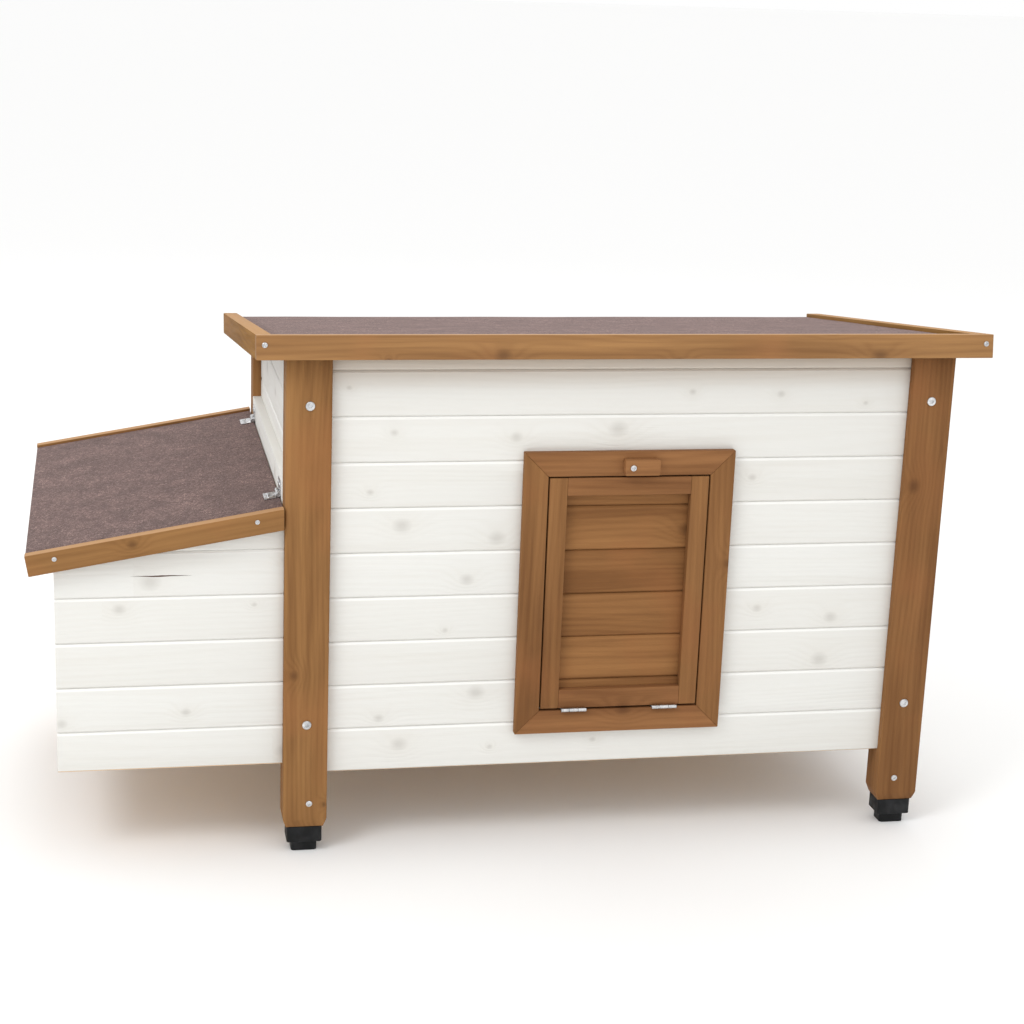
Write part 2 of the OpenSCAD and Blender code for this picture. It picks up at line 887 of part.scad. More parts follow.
module roof_panel() {
    side = roof_over_side - fascia_t;
    placed() color(bare_pine) on_roof()
        translate([-side, -fascia_gap, 0])
            cube([body_w + 2 * side, roof_back + fascia_gap - felt_t, panel_t]);
}

module roof_felt() {
    side = roof_over_side - fascia_t;
    length = roof_back + fascia_gap;
    placed() color(felt_purple) on_roof()
        translate([-side, -fascia_gap, 0])
            difference() {
                cube([body_w + 2 * side, length, panel_t + felt_t]);
                translate([-1, -1, -1])
                    cube([body_w + 2 * side + 2, length - felt_t + 1, panel_t + 1]);
            }
}

module roof_fascia_front() {
    placed() color(brown_stain) on_roof()
        translate([-roof_over_side, roof_front, fascia_n - fascia_h])
            cube([body_w + 2 * roof_over_side, fascia_t, fascia_h]);
}

module roof_fascia_side(right) {
    placed() color(brown_stain) on_roof() corner(right, 0)
        translate([-roof_over_side, -fascia_gap, fascia_n - fascia_h])
            cube([fascia_t, roof_back + fascia_gap, fascia_h]);
}

module roof_fascia_left() { roof_fascia_side(0); }
module roof_fascia_right() { roof_fascia_side(1); }

module roof_battens() {
    placed() color(bare_pine) on_roof()
        for (y = [batten_in_y, body_d - batten_in_y - batten_w])
            translate([post_w + batten_in, y, -batten_t])
                cube([body_w - 2 * (post_w + batten_in), batten_w, batten_t]);
}

module roof_screws() {
    head_r = 3.5;
    end_in = fascia_t / 2;
    fascia_screw_in = 30;
    placed() color(bright_zinc) {
        for (x = roof_hinge_xs) roof_moving(x) leaf_screws(roof_hinge_l, pin_off);
        on_roof()
            for (x = [end_in - roof_over_side, body_w + roof_over_side - end_in])
                translate([x, roof_front, panel_t / 2])
                    rotate([-90, 0, 0])
                        screw(head_r, screw_r, fascia_t + fascia_screw_in);
    }
}

post_front_left();
post_front_right();
post_rear_left();
post_rear_right();
foot_front_left();
foot_front_right();
foot_rear_left();
foot_rear_right();
front_wall_boards();
back_wall_boards();
left_wall_boards();
right_wall_boards();
front_head_rail();
rear_head_rail();
left_rails();
right_rails();
floor_bearers();
floor_panel();
door_stops();
casing_left();
casing_right();
casing_top();
casing_bottom();
hinge_board();
nest_front_boards();
nest_rear_boards();
nest_end_boards();
nest_battens();
nest_floor_bearers();
nest_floor();
post_bolts();
foot_screws();
door_hinge_leaves();
lid_hinge_leaves();
roof_hinge_leaves();
hinge_pins();
hinge_screws();
button_pivot();
door_stile_left();
door_stile_right();
door_rail_top();
door_rail_bottom();
door_boards();
door_hinge_flaps();
turn_button();
lid_panel();
lid_felt();
lid_fascia_front();
lid_fascia_rear();
lid_hinge_flaps();
lid_screws();
roof_panel();
roof_felt();
roof_fascia_front();
roof_fascia_left();
roof_fascia_right();
roof_battens();
roof_hinge_flaps();
roof_screws();
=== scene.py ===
"""A small wooden rabbit hutch: whitewashed board walls between brown stained posts, a felted pent
roof, a nest box with a lifting lid, and a door that folds down as a ramp."""

import math

import bmesh
import bpy
import numpy as np
from mathutils import Matrix, Vector, noise


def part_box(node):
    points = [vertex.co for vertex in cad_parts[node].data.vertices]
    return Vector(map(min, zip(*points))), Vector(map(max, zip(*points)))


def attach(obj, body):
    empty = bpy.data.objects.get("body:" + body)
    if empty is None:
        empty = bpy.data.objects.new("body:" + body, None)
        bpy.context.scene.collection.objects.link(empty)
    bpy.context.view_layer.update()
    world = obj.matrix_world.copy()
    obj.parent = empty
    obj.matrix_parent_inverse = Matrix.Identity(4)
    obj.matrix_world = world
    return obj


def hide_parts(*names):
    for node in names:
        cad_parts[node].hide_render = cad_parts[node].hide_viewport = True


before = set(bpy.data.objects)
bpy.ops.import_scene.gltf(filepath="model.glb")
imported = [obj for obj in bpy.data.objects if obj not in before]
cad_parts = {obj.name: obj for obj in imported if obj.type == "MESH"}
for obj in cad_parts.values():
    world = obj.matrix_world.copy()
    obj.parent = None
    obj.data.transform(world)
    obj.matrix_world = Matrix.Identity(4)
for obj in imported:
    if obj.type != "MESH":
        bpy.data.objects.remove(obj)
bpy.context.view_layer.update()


# ---- Camera -------------------------------------------------------------------------------------
# Stands a little left of the middle and above the roof's edge, and looks slightly down, so that the
# front, the nest box's lid and a strip of the roof show.

EYE = Vector((-0.50946, -2.65765, 1.10988))
EYE_YAW = -0.19332
EYE_PITCH = -0.25751
EYE_ROLL = 0.03407
LENS = 70.58
SENSOR = 36.0
PICTURE_SHIFT = (0.0293, -0.0195)

view = bpy.data.cameras.new("camera")
view.lens = LENS
view.sensor_width = SENSOR
view.shift_x, view.shift_y = PICTURE_SHIFT
camera = bpy.data.objects.new("camera", view)
bpy.context.scene.collection.objects.link(camera)
camera.matrix_world = (
    Matrix.Translation(EYE)
    @ Matrix.Rotation(EYE_YAW, 4, "Z")
    @ Matrix.Rotation(math.pi / 2 + EYE_PITCH, 4, "X")
    @ Matrix.Rotation(EYE_ROLL, 4, "Z")
)
bpy.context.scene.camera = camera


# ---- Corner posts -------------------------------------------------------------------------------
# Four planed softwood posts, brown stained, that run down as legs. Their long edges are eased and
# their lower ends bevelled. The stain leaves long streaks, growth lines and dark knots showing.

STAIN_LIGHT = (0.338, 0.171, 0.061, 1)
STAIN_DARK = (0.200, 0.092, 0.031, 1)
STAIN_WARM = (0.325, 0.139, 0.050, 1)
STAIN_KNOT = (0.075, 0.030, 0.012, 1)
STAIN_TOP_HIGHLIGHT = (0.620, 0.370, 0.190, 1)
STAIN_MIDDLE = 0.45
STAIN_FIGURE = {"streak": 1.9, "broad": 1.3, "lines": -0.2, "fibre": 0.6}
STAIN_BY_BOARD = 0.2
STAIN_ROUGHNESS = (0.6, 0.78)
STAIN_ROUND_KNOT = 0.3
STAIN_IN_KNOT = 0.5
WARM_PER_METRE = 7.0
WARM_PATCHES = (0.52, 0.72)
WARM_MOST = 0.55
TOP_HIGHLIGHT_FACING = (0.8, 0.97)
# A darker stain for the casing sides and door stiles, and painted shade on the right posts.
DARKER_STAIN_AND_SHADE = (0.82, 0.77, 0.78)
POST_ARRIS = 0.0008
UPRIGHT = (0, math.pi / 2, 0)
LEVEL = (0, 0, 0)
STICK_ROW = 0.05
STICK_SKEW = 0.85
RINGS_PER_METRE = 115.0
RING_WANDER = 0.09
RINGS_ROUND_KNOT = 2.2
KNOT_R = 0.0022
KNOT_R_SPREAD = 0.0065
KNOT_STAGGER = 17.31
KNOT_LENGTHWISE = 0.8
KNOT_OFF_MIDDLE = 0.6
KNOT_EDGE = (1.5, 0.35)
KNOT_PROUD = 0.3
HILL_REACH = 3.0
MOSTLY_LOW = 1.6
BEND_RUN = (1.3, 7.0)
STREAK_RUN = (2.6, 55.0)
BROAD_RUN = (3.0, 12.0)
FIBRE_RUN = (18.0, 520.0)
FIBRE_DEPTH = 0.00035
NOISE_REACH = (0.3, 0.7)
JOIN_WITHIN = 1e-5
FLAT_WITHIN = math.radians(1)
EASE_FROM = math.radians(25)
SHARP_FROM = math.radians(28)


def add(tree, kind, feeds=None, **settings):
    """Adds a node and fills its inputs with values or with other nodes' outputs."""
    made = tree.nodes.new(kind)
    for name, value in settings.items():
        setattr(made, name, value)
    for name, feed in (feeds or {}).items():
        if isinstance(feed, bpy.types.Node):
            feed = feed.outputs[0]
        if isinstance(feed, bpy.types.NodeSocket):
            tree.links.new(feed, made.inputs[name])
        else:
            made.inputs[name].default_value = feed
    return made


def calc(tree, operation, *terms, clamp=False):
    """One sum on values or on other nodes' outputs."""
    made = add(tree, "ShaderNodeMath", dict(enumerate(terms)), operation=operation, use_clamp=clamp)
    return made.outputs[0]


def squared(tree, value):
    return calc(tree, "MULTIPLY", value, value)


def off_middle(tree, value):
    """How far a chance from 0 to 1, or a noise, is from its middle."""
    return calc(tree, "SUBTRACT", value, 0.5)


def tint(tree, factor, first, second, blend="MIX"):
    """Mixes two colours."""
    made = add(tree, "ShaderNodeMix", {0: factor, 6: first, 7: second}, data_type="RGBA", blend_type=blend)
    return made.outputs[2]


def span(tree, value, low, high, to_low=0.0, to_high=1.0):
    """Maps the range low to high onto to_low to to_high, and holds it there."""
    feeds = {"Value": value, "From Min": low, "From Max": high, "To Min": to_low, "To Max": to_high}
    return add(tree, "ShaderNodeMapRange", feeds).outputs[0]


def streaks(tree, along, across, deep, run, detail=2.0):
    """Noise that is drawn out along the grain, from about 0.3 to 0.7. run holds its changes in a
    metre along the grain and across it."""
    stretch, fine = run
    spot = add(
        tree,
        "ShaderNodeCombineXYZ",
        {
            "X": calc(tree, "MULTIPLY", along, stretch),
            "Y": calc(tree, "MULTIPLY", across, fine),
            "Z": calc(tree, "MULTIPLY", deep, fine),
        },
    )
    return add(tree, "ShaderNodeTexNoise", {"Vector": spot, "Scale": 1.0, "Detail": detail}).outputs[0]


def object_noise(tree, scale, detail=3.0):
    place = add(tree, "ShaderNodeTexCoord").outputs["Object"]
    return add(tree, "ShaderNodeTexNoise", {"Vector": place, "Scale": scale, "Detail": detail}).outputs[0]


def grain(tree, turn, row, start, skew, each_board, knot_gap=0.21, knot_share=0.38):
    """Growth lines, fibres and knots of sticks or boards whose length lies along X once turned.
    Rows are the boards' width, and skew slants the rings through a stick, so that two faces differ.
    With each_board on, every row is cut from another tree. knot_share is how many of the places for
    a knot, knot_gap apart, hold one."""
    place = add(tree, "ShaderNodeTexCoord").outputs["Object"]
    turned = add(tree, "ShaderNodeMapping", {"Vector": place, "Rotation": turn})
    along, deep, across = add(tree, "ShaderNodeSeparateXYZ", {"Vector": turned}).outputs
    face = calc(tree, "MULTIPLY_ADD", deep, skew, across)
    rows = calc(tree, "DIVIDE", calc(tree, "SUBTRACT", face, start), row)
    board = calc(tree, "FLOOR", rows)
    tone = add(tree, "ShaderNodeTexWhiteNoise", {"W": board}, noise_dimensions="1D").outputs["Value"]
    other_tree = 9.0 if each_board else 0.0
    run = calc(tree, "MULTIPLY_ADD", tone, other_tree, along)

    knot_at = calc(tree, "MULTIPLY_ADD", board, KNOT_STAGGER, calc(tree, "DIVIDE", run, knot_gap))
    cell = add(tree, "ShaderNodeTexVoronoi", {"W": knot_at, "Scale": 1.0}, voronoi_dimensions="1D")
    luck = add(tree, "ShaderNodeSeparateColor", {"Color": cell.outputs["Color"]}).outputs
    here = calc(tree, "LESS_THAN", luck[0], knot_share)
    off_knot = calc(tree, "SUBTRACT", cell.outputs["W"], knot_at)
    beside = calc(tree, "MULTIPLY", off_knot, knot_gap * KNOT_LENGTHWISE)
    up_board = off_middle(tree, calc(tree, "FRACT", rows))
    off_line = calc(tree, "MULTIPLY", off_middle(tree, luck[1]), KNOT_OFF_MIDDLE)
    above = calc(tree, "MULTIPLY", calc(tree, "SUBTRACT", up_board, off_line), row)
    away = calc(tree, "SQRT", calc(tree, "ADD", squared(tree, beside), squared(tree, above)))
    size = calc(tree, "MULTIPLY_ADD", calc(tree, "POWER", luck[2], MOSTLY_LOW), KNOT_R_SPREAD, KNOT_R)
    knot = calc(tree, "MULTIPLY", here, span(tree, calc(tree, "DIVIDE", away, size), *KNOT_EDGE))
    near = calc(tree, "DIVIDE", away, calc(tree, "MULTIPLY", size, HILL_REACH))
    swell = calc(tree, "EXPONENT", calc(tree, "MULTIPLY", squared(tree, near), -1.0))
    hill = calc(tree, "MULTIPLY", here, swell)

    bend = off_middle(tree, streaks(tree, run, face, deep, BEND_RUN))
    rings = calc(tree, "MULTIPLY", calc(tree, "MULTIPLY_ADD", bend, RING_WANDER, face), RINGS_PER_METRE)
    turns = calc(tree, "MULTIPLY_ADD", hill, RINGS_ROUND_KNOT, rings)
    wave = calc(tree, "SINE", calc(tree, "MULTIPLY", turns, 2 * math.pi))
    lines = calc(tree, "POWER", calc(tree, "MULTIPLY_ADD", wave, 0.5, 0.5), MOSTLY_LOW)
    return {
        "place": place, "along": along, "rows": rows, "tone": tone,
        "knot": knot, "hill": hill, "lines": lines,
        "streak": streaks(tree, run, face, deep, STREAK_RUN, 3.0),
        "broad": streaks(tree, run, face, deep, BROAD_RUN),
        "fibre": streaks(tree, run, face, deep, FIBRE_RUN, 3.0),
    }


def surface(name, colour_of, roughness_of, bump, **constants):
    """A material from functions that build its colour, roughness and height in one tree."""
    made = bpy.data.materials.new(name)
    made.use_nodes = True
    tree = made.node_tree
    shader = tree.nodes["Principled BSDF"]
    for socket, value in constants.items():
        shader.inputs[socket.replace("_", " ")].default_value = value
    tree.links.new(colour_of(tree), shader.inputs["Base Color"])
    tree.links.new(roughness_of(tree), shader.inputs["Roughness"])
    depth, height_of = bump
    feeds = {"Height": height_of(tree), "Distance": depth, "Strength": 1.0}
    tree.links.new(add(tree, "ShaderNodeBump", feeds).outputs[0], shader.inputs["Normal"])
    return made


def wood_height(tree, figure, line_depth=0.35):
    """Fibres stand up, growth lines are slightly sunk and knots stand proud."""
    fibres = calc(tree, "MULTIPLY_ADD", figure["lines"], -line_depth, figure["fibre"])
    return calc(tree, "MULTIPLY_ADD", figure["knot"], KNOT_PROUD, fibres)


def stained(name, turn, row=STICK_ROW, start=0.0, skew=STICK_SKEW, each_board=False,
            shade=(1, 1, 1), gloss=0.14, top_highlight=0.0):
    """Brown stain on planed wood. shade multiplies the stain's colours, and the last argument is how far
    faces that look up are lightened towards a pale stain, as a painted highlight."""
    figure = {}

    def colour(tree):
        figure.update(grain(tree, turn, row, start, skew, each_board))
        pale = STAIN_MIDDLE
        for part, weight in STAIN_FIGURE.items():
            pale = calc(tree, "MULTIPLY_ADD", off_middle(tree, figure[part]), weight, pale)
        if each_board:
            pale = calc(tree, "MULTIPLY_ADD", off_middle(tree, figure["tone"]), STAIN_BY_BOARD, pale)
        wood = tint(tree, pale, STAIN_DARK, STAIN_LIGHT)
        warm = span(tree, object_noise(tree, WARM_PER_METRE), *WARM_PATCHES, 0.0, WARM_MOST)
        wood = tint(tree, warm, wood, STAIN_WARM)
        wood = tint(tree, calc(tree, "MULTIPLY", figure["hill"], STAIN_ROUND_KNOT), wood, STAIN_DARK)
        wood = tint(tree, calc(tree, "MULTIPLY", figure["knot"], STAIN_IN_KNOT), wood, STAIN_KNOT)
        wood = tint(tree, 1.0, wood, (*shade, 1), "MULTIPLY")
        # Painted highlight: faces that look up are lightened towards a pale stain.
        facing = add(tree, "ShaderNodeTexCoord").outputs["Normal"]
        upward = add(tree, "ShaderNodeSeparateXYZ", {"Vector": facing}).outputs[2]
        return tint(tree, span(tree, upward, *TOP_HIGHLIGHT_FACING, 0.0, top_highlight), wood, STAIN_TOP_HIGHLIGHT)

    return surface(
        name,
        colour,
        lambda tree: span(tree, figure["fibre"], *NOISE_REACH, *STAIN_ROUGHNESS),
        (FIBRE_DEPTH, lambda tree: wood_height(tree, figure)),
        Specular_IOR_Level=gloss,
    )


def settle(piece):
    """Turns a piece with its modifiers into a plain mesh whose faces point outwards."""
    graph = bpy.context.evaluated_depsgraph_get()
    plain = bpy.data.meshes.new_from_object(piece.evaluated_get(graph))
    piece.modifiers.clear()
    piece.data = plain
    shape = bmesh.new()
    shape.from_mesh(plain)
    bmesh.ops.recalc_face_normals(shape, faces=shape.faces)
    shape.to_mesh(plain)
    shape.free()
    plain.shade_smooth()
    plain.set_sharp_from_angle(angle=SHARP_FROM)


def shown(name, shape, finish):
    """A new object from a bmesh, with its place in its mesh."""
    data = bpy.data.meshes.new(name)
    shape.to_mesh(data)
    shape.free()
    data.materials.append(finish)
    piece = bpy.data.objects.new(name, data)
    bpy.context.scene.collection.objects.link(piece)
    return piece


def whole_shape(node):
    """The solid shape of a CAD node, with its triangles joined up again."""
    shape = bmesh.new()
    shape.from_mesh(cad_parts[node].data)
    bmesh.ops.remove_doubles(shape, verts=shape.verts, dist=JOIN_WITHIN)
    bmesh.ops.dissolve_limit(shape, angle_limit=FLAT_WITHIN, verts=shape.verts, edges=shape.edges)
    return shape


def eased(node, name, body, finish, arris, steps=2):
    """A CAD node's shape with its edges rounded, which stands for that node."""
    piece = shown(name, whole_shape(node), finish)
    rounding = piece.modifiers.new("arris", "BEVEL")
    rounding.width = arris
    rounding.segments = steps
    rounding.limit_method = "ANGLE"
    rounding.angle_limit = EASE_FROM
    settle(piece)
    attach(piece, body)
    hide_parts(node)


stain_upright = stained("stain_upright", UPRIGHT)
stain_upright_darker_and_shaded = stained("stain_upright_darker_and_shaded", UPRIGHT, shade=DARKER_STAIN_AND_SHADE)
# The right posts take the darker copy of the stain as painted shade, for the side turned from the light; the
# casing sides and door stiles share it as a darker stain.
for side, finish in (("left", stain_upright), ("right", stain_upright_darker_and_shaded)):
    for end in ("front", "rear"):
        post = f"post_{end}_{side}"
        eased(post, "stained_" + post, "hutch", finish, POST_ARRIS)


# ---- Feet ---------------------------------------------------------------------------------------
# Black moulded plastic feet, each a collar with a smaller pad and a plug that goes up into the leg.
# They keep the end grain off wet ground. The moulding has a fine spark texture and scuffed edges.

PLASTIC_BLACK = (0.008, 0.0085, 0.009, 1)
PLASTIC_SCUFF = (0.026, 0.0265, 0.028, 1)
PLASTIC_ROUGHNESS = (0.42, 0.6)
SCUFFS_PER_METRE = 60.0
FOOT_ROUNDING = 0.0014
SPARK_DEPTH = 0.0001
SPARKS_PER_METRE = 2200.0

moulded_plastic = surface(
    "moulded_plastic",
    lambda tree: tint(tree, span(tree, object_noise(tree, SCUFFS_PER_METRE), 0.45, 0.8),
                      PLASTIC_BLACK, PLASTIC_SCUFF),
    lambda tree: span(tree, object_noise(tree, 90.0), 0.35, 0.65, *PLASTIC_ROUGHNESS),
    (SPARK_DEPTH, lambda tree: object_noise(tree, SPARKS_PER_METRE, 1.0)),
    Specular_IOR_Level=0.18,
)
for corner in ("front_left", "front_right", "rear_left", "rear_right"):
    eased("foot_" + corner, "moulded_foot_" + corner, "hutch", moulded_plastic,
          FOOT_ROUNDING, steps=3)


# ---- Board walls --------------------------------------------------------------------------------
# Whitewashed matched boards, laid level and let into grooves in the posts. Each board's edges are
# bevelled, which makes the groove lines. Knots and growth lines show faintly through the thin
# paint, and the sawn edges along the bottom are bare.

BOARD_PITCH = 0.058
BOARD_GAP = 0.0001
BOARD_T = 0.012
BOARD_VEE = 0.0025
TONGUE_H = 0.006
TONGUE_T = 0.004
TONGUE_PLAY = 0.0004
BOARD_ARRIS = 0.0006
BOARD_UNEVEN = 0.0002
ROOF_FALL = math.radians(7.5)
PASSAGE = 0.19
PAST_THE_WALL = 1.0
PAINT = (0.750, 0.745, 0.712, 1)
# Thin paint that lets the wood show through, also used as painted shade on the grooves' lower bevels.
PAINT_THIN_AND_GROOVE_SHADE = (0.600, 0.560, 0.490, 1)
PAINT_KNOT = (0.330, 0.305, 0.275, 1)
# Painted highlight on the boards' upper bevels.
PAINT_GROOVE_HIGHLIGHT = (0.850, 0.845, 0.820, 1)
# A lighter copy of the paint, as painted light on the side walls and the hinge board.
PAINT_LIT_SIDE = (0.840, 0.835, 0.800, 1)
# Painted shadow of the roof's overhang on the wall's top.
PAINT_ROOF_SHADOW = (0.480, 0.375, 0.270, 1)
ROOF_SHADOW_DEPTH = 0.055
WORN_PATCHES = (0.42, 0.75)
STREAKS_SHOW = (0.5, 0.85)
SHOWS_THROUGH = {"lines": 0.17, "streak": 0.2, "tone": 0.12, "hill": 0.16, "knot": 0.3}
PAINT_ROUGHNESS = (0.5, 0.68)
BARE_EDGE = (0.560, 0.330, 0.140, 1)
PAINT_DEPTH = 0.00025
CRACK_OPEN = 0.0009
CRACK_WANDER = 0.006
CRACK_WANDERS_PER_METRE = 22.0
CRACK_DEPTH = 3.0
EASTWARD = (0, 0, -math.pi / 2)
wall_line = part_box("front_wall_boards")[0][2]
post_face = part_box("post_front_left")
roof_under = (
    Vector((0, post_face[0][1], post_face[1][2])),
    Vector((0, math.sin(ROOF_FALL), math.cos(ROOF_FALL))),
)


def whitewashed(name, turn, start, row=BOARD_PITCH, bottom=0.0, crack=None, coat=PAINT, top=None):
    """Thin white paint over matched boards. bottom is the height of the wall's bare lower edge,
    crack is (from, to, height) of a drying crack along the grain, and top is the height of a
    wall's top, under which the paint is darkened and warmed as painted shadow of the overhang."""
    figure = {}

    def colour(tree):
        figure.update(grain(tree, turn, row, start, 0.0, True, knot_gap=0.13, knot_share=0.42))
        worn = span(tree, figure["broad"], *WORN_PATCHES, 0.05, 0.5)
        lines = calc(tree, "MULTIPLY", figure["lines"], calc(tree, "MULTIPLY", worn, SHOWS_THROUGH["lines"]))
        streak = span(tree, figure["streak"], *STREAKS_SHOW, 0.0, SHOWS_THROUGH["streak"])
        thin = calc(tree, "ADD", lines, streak)
        for part in ("tone", "hill"):
            thin = calc(tree, "MULTIPLY_ADD", figure[part], SHOWS_THROUGH[part], thin)
        paint = tint(tree, thin, coat, PAINT_THIN_AND_GROOVE_SHADE)
        knot = calc(tree, "MULTIPLY", figure["knot"], SHOWS_THROUGH["knot"])
        paint = tint(tree, knot, paint, PAINT_KNOT)
        up_board = calc(tree, "FRACT", figure["rows"])
        # Painted shade on each board's lower bevel and a painted highlight on its upper bevel draw the
        # groove lines.
        vee = BOARD_VEE / row
        paint = tint(tree, span(tree, up_board, 0.0, vee, 0.2, 0.0), paint, PAINT_THIN_AND_GROOVE_SHADE)
        paint = tint(tree, span(tree, up_board, 1 - 1.6 * vee, 1 - vee), paint, PAINT_GROOVE_HIGHLIGHT)
        height = add(tree, "ShaderNodeSeparateXYZ", {"Vector": figure["place"]}).outputs[2]
        # Painted shadow of the roof's overhang: the paint darkens and warms towards the wall's top.
        if top:
            paint = tint(tree, span(tree, height, top - ROOF_SHADOW_DEPTH, top, 0.0, 0.95), paint, PAINT_ROOF_SHADOW)
        figure["split"] = 0.0
        if crack:
            first, last, level = crack
            wander = off_middle(tree, object_noise(tree, CRACK_WANDERS_PER_METRE))
            wandering = calc(tree, "MULTIPLY_ADD", wander, CRACK_WANDER, height)
            off = calc(tree, "ABSOLUTE", calc(tree, "SUBTRACT", wandering, level))
            beside = calc(tree, "SUBTRACT", figure["along"], (first + last) / 2)
            reach = calc(tree, "DIVIDE", calc(tree, "ABSOLUTE", beside), (last - first) / 2)
            figure["split"] = calc(tree, "LESS_THAN", off, span(tree, reach, 0.0, 1.0, CRACK_OPEN, 0.0))
            paint = tint(tree, figure["split"], paint, STAIN_KNOT)
        bare = calc(tree, "LESS_THAN", height, bottom + BOARD_VEE * 0.5)
        return tint(tree, calc(tree, "MULTIPLY", bare, 0.8), paint, BARE_EDGE)

    def height(tree):
        return calc(tree, "MULTIPLY_ADD", figure["split"], -CRACK_DEPTH, wood_height(tree, figure, 0.5))

    return surface(
        name,
        colour,
        lambda tree: span(tree, figure["fibre"], *NOISE_REACH, *PAINT_ROUGHNESS),
        (PAINT_DEPTH, height),
        Specular_IOR_Level=0.4,
    )


def boards_tree():
    """Geometry Nodes tree: draws a board's section out along Run, and lays the boards one above
    another, each a hair further in or out than the last."""
    tree = bpy.data.node_groups.new("matched_boards", "GeometryNodeTree")
    sockets = {}
    for name, kind in (("Section", "Geometry"), ("Run", "Vector"), ("Pitch", "Float"), ("Boards", "Int"),
                       ("Uneven", "Vector"), ("Seed", "Int"), ("Finish", "Material")):
        socket = tree.interface.new_socket(name=name, in_out="INPUT", socket_type="NodeSocket" + kind)
        sockets[name] = socket.identifier
    tree.interface.new_socket(name="Wall", in_out="OUTPUT", socket_type="NodeSocketGeometry")
    given = tree.nodes.new("NodeGroupInput").outputs
    drawn = add(tree, "GeometryNodeExtrudeMesh",
                {"Mesh": given["Section"], "Offset": given["Run"], "Offset Scale": 1.0,
                 "Individual": False})
    near_end = add(tree, "GeometryNodeFlipFaces", {"Mesh": given["Section"]})
    joined = tree.nodes.new("GeometryNodeJoinGeometry")
    tree.links.new(drawn.outputs["Mesh"], joined.inputs[0])
    tree.links.new(near_end.outputs[0], joined.inputs[0])
    board = add(tree, "GeometryNodeMergeByDistance", {"Geometry": joined, "Distance": JOIN_WITHIN})
    step = add(tree, "ShaderNodeCombineXYZ", {"Z": given["Pitch"]})
    stack = add(tree, "GeometryNodeMeshLine", {"Count": given["Boards"], "Offset": step}, mode="OFFSET")
    laid = add(tree, "GeometryNodeInstanceOnPoints", {"Points": stack, "Instance": board})
    chance = add(tree, "FunctionNodeRandomValue",
                 {"Min": (-1, -1, -1), "Max": (1, 1, 1), "Seed": given["Seed"]}, data_type="FLOAT_VECTOR")
    shift = add(tree, "ShaderNodeVectorMath", {0: chance, 1: given["Uneven"]}, operation="MULTIPLY")
    moved = add(tree, "GeometryNodeTranslateInstances",
                {"Instances": laid, "Translation": shift, "Local Space": False})
    solid = add(tree, "GeometryNodeRealizeInstances", {"Geometry": moved})
    painted = add(tree, "GeometryNodeSetMaterial", {"Geometry": solid, "Material": given["Finish"]})
    add(tree, "NodeGroupOutput", {"Wall": painted})
    return tree, sockets


def trimmed(shape, point, normal):
    """Cuts away what lies beyond a plane, and closes the sawn ends."""
    geometry = shape.verts[:] + shape.edges[:] + shape.faces[:]
    cut = bmesh.ops.bisect_plane(shape, geom=geometry, plane_co=point, plane_no=normal, clear_outer=True)
    edges = [e for e in cut["geom_cut"] if isinstance(e, bmesh.types.BMEdge)]
    bmesh.ops.holes_fill(shape, edges=edges, sides=0)


def cut_out(piece, low, high):
    """Saws a box-shaped hole through a piece."""
    shape = bmesh.new()
    bmesh.ops.create_cube(shape, size=1.0)
    for vert in shape.verts:
        vert.co = Vector((low[i] if vert.co[i] < 0 else high[i] for i in range(3)))
    cutter = shown("cutter", shape, piece.data.materials[0])
    hole = piece.modifiers.new("hole", "BOOLEAN")
    hole.operation = "DIFFERENCE"
    hole.solver = "EXACT"
    hole.object = cutter
    settle(piece)
    bpy.data.objects.remove(cutter)


def board_wall(node, outward, line, finish, top, hole=None, seed=1):
    """A wall of matched boards in a CAD node's place, with its groove lines counted from line."""
    outward = Vector(outward)
    low, high = (Vector(c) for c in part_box(node))
    run = Vector((abs(outward.y) * (high.x - low.x), abs(outward.x) * (high.y - low.y), 0))
    corner = Vector((high.x if outward.x > 0 else low.x, high.y if outward.y > 0 else low.y, line))
    height = BOARD_PITCH - BOARD_GAP
    slot, tongue = (TONGUE_T + TONGUE_PLAY) / 2, TONGUE_T / 2
    middle, rise = BOARD_T / 2, TONGUE_H - TONGUE_PLAY
    section = [
        (0, BOARD_VEE), (BOARD_VEE, 0), (middle - slot, 0), (middle - slot, TONGUE_H),
        (middle + slot, TONGUE_H), (middle + slot, 0), (BOARD_T, 0), (BOARD_T, height),
        (middle + tongue, height), (middle + tongue, height + rise), (middle - tongue, height + rise),
        (middle - tongue, height), (BOARD_VEE, height), (0, height - BOARD_VEE),
    ]
    shape = bmesh.new()
    shape.faces.new([shape.verts.new(corner - outward * d + Vector((0, 0, h))) for d, h in section])
    piece = shown("boards_of_" + node.replace("_boards", ""), shape, finish)
    tree, sockets = board_tree
    laying = piece.modifiers.new("matched_boards", "NODES")
    laying.node_group = tree
    laying[sockets["Run"]] = run
    laying[sockets["Pitch"]] = BOARD_PITCH
    laying[sockets["Boards"]] = math.ceil((high.z - line) / BOARD_PITCH)
    laying[sockets["Uneven"]] = outward * BOARD_UNEVEN
    laying[sockets["Seed"]] = seed
    laying[sockets["Finish"]] = finish
    settle(piece)
    if hole:
        cut_out(piece, *hole)
    shape = bmesh.new()
    shape.from_mesh(piece.data)
    for point, normal in (top, (low, Vector((0, 0, -1)))):
        trimmed(shape, point, normal)
    shape.to_mesh(piece.data)
    shape.free()
    rounding = piece.modifiers.new("arris", "BEVEL")
    rounding.width = BOARD_ARRIS
    rounding.segments = 2
    rounding.limit_method = "ANGLE"
    settle(piece)
    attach(piece, "hutch")
    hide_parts(node)


